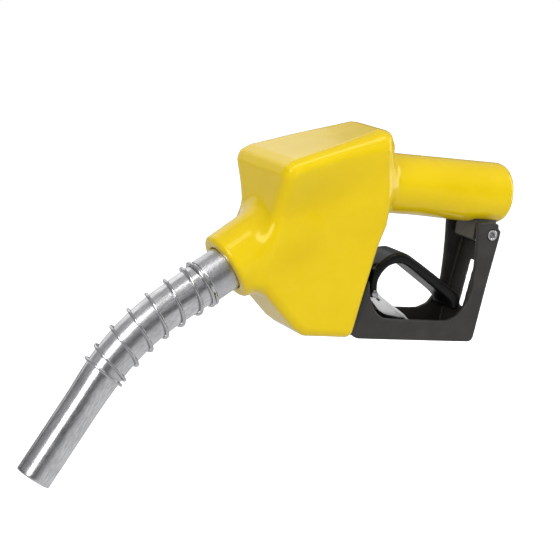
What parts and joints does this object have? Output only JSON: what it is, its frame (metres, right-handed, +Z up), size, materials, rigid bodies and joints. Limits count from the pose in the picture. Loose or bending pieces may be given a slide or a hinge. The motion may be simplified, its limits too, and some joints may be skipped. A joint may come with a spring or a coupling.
{
  "type": "fuel nozzle",
  "caption": "Automatic shut-off fuel nozzle with a dipped hand cover, bent spout with anchor spring, plate lever guard, squeeze lever and hold-open clip.",
  "frame": {"origin": "centre of the inlet mouth, where the hose fitting screws in", "axes": "+X out of the inlet to the rear, the spout runs towards -X; +Z up with the handle level; Y across, the part is symmetric about y = 0"},
  "size_m": [0.3318, 0.075, 0.2474],
  "materials": {
    "cast_alloy": "raw sand casting",
    "cover": "smooth dipped skin",
    "machined_alloy": "satin",
    "spout_alloy": "brushed",
    "collar_alloy": "satin",
    "brass": "turned",
    "steel": "turned",
    "spring_steel": "drawn wire",
    "screw_steel": "zinc plated",
    "clip_steel": "bright stamped plate",
    "rubber": "moulded",
    "guard": "matt charcoal",
    "lever": "satin black",
    "plastic": "moulded"
  },
  "bodies": {
    "nozzle_body": {"body_casting": "cast_alloy", "hand_cover": "cover", "diaphragm_cap": "machined_alloy", "cap_screws": "screw_steel", "diaphragm": "rubber", "diaphragm_spring": "spring_steel", "latch_ring": "steel", "plunger_guide": "brass", "plunger_spring": "spring_steel", "valve_cap": "machined_alloy", "valve_cap_seal": "rubber", "valve_spring": "spring_steel", "seat_ring": "brass", "packing_nut": "brass", "stem_seal": "rubber", "spout_collar": "collar_alloy", "collar_seal": "rubber", "collar_screw": "screw_steel", "spout_tube": "spout_alloy", "sensing_tube": "brass", "sensing_fitting": "plastic", "anchor_spring": "spring_steel", "check_seat": "brass", "check_spring": "spring_steel", "check_guide": "machined_alloy", "lever_guard": "guard", "guard_rear_screw": "screw_steel", "guard_front_screws": "screw_steel", "inlet_strainer": "brass"},
    "plunger": {"latch_plunger": "steel", "latch_balls": "steel", "lever_pin": "steel"},
    "lever": {"lever": "lever", "lever_pad": "steel", "clip_pin": "screw_steel", "clip_spring": "spring_steel"},
    "clip": {"hold_open_clip": "clip_steel"},
    "main_valve": {"valve_stem": "steel", "valve_poppet": "brass", "valve_disc": "rubber", "disc_nut": "brass"},
    "diaphragm_set": {"diaphragm_plates": "steel", "latch_pin": "steel"},
    "check_valve": {"check_poppet": "machined_alloy"}
  },
  "joints": [
    {"name": "latch_trip", "type": "slide", "parent": "nozzle_body", "child": "plunger", "axis": [0.3256, 0, -0.9455], "range_m": [0, 0.005], "stiffness_N_per_m": 500, "springref_m": -0.02, "deforming": ["plunger_spring"]},
    {"name": "lever_pivot", "type": "hinge", "parent": "plunger", "child": "lever", "pos_m": [-0.134, 0, -0.066], "axis": [0, -1, 0], "range_deg": [0, 18], "stiffness_Nm_per_rad": 0.6, "springref_deg": -28.65},
    {"name": "valve_lift", "type": "slide", "parent": "nozzle_body", "child": "main_valve", "axis": [-0.3256, 0, 0.9455], "range_m": [0, 0.0098], "deforming": ["valve_spring"]},
    {"name": "clip_swing", "type": "hinge", "parent": "lever", "child": "clip", "pos_m": [-0.097, 0, -0.074], "axis": [0, -1, 0], "range_deg": [0, 25], "stiffness_Nm_per_rad": 0.02, "springref_deg": -28.65},
    {"name": "diaphragm_lift", "type": "slide", "parent": "nozzle_body", "child": "diaphragm_set", "axis": [-0.3256, 0, 0.9455], "range_m": [0, 0.0025], "stiffness_N_per_m": 300, "springref_m": -0.01, "deforming": ["diaphragm_spring", "diaphragm"]},
    {"name": "check_open", "type": "slide", "parent": "nozzle_body", "child": "check_valve", "axis": [-0.8039, 0, -0.5948], "range_m": [0, 0.005], "stiffness_N_per_m": 100, "springref_m": -0.01, "deforming": ["check_spring"]}
  ],
  "couplings": [
    {"joint": "valve_lift", "follows": "lever_pivot", "m_per_rad": 0.0311}
  ]
}
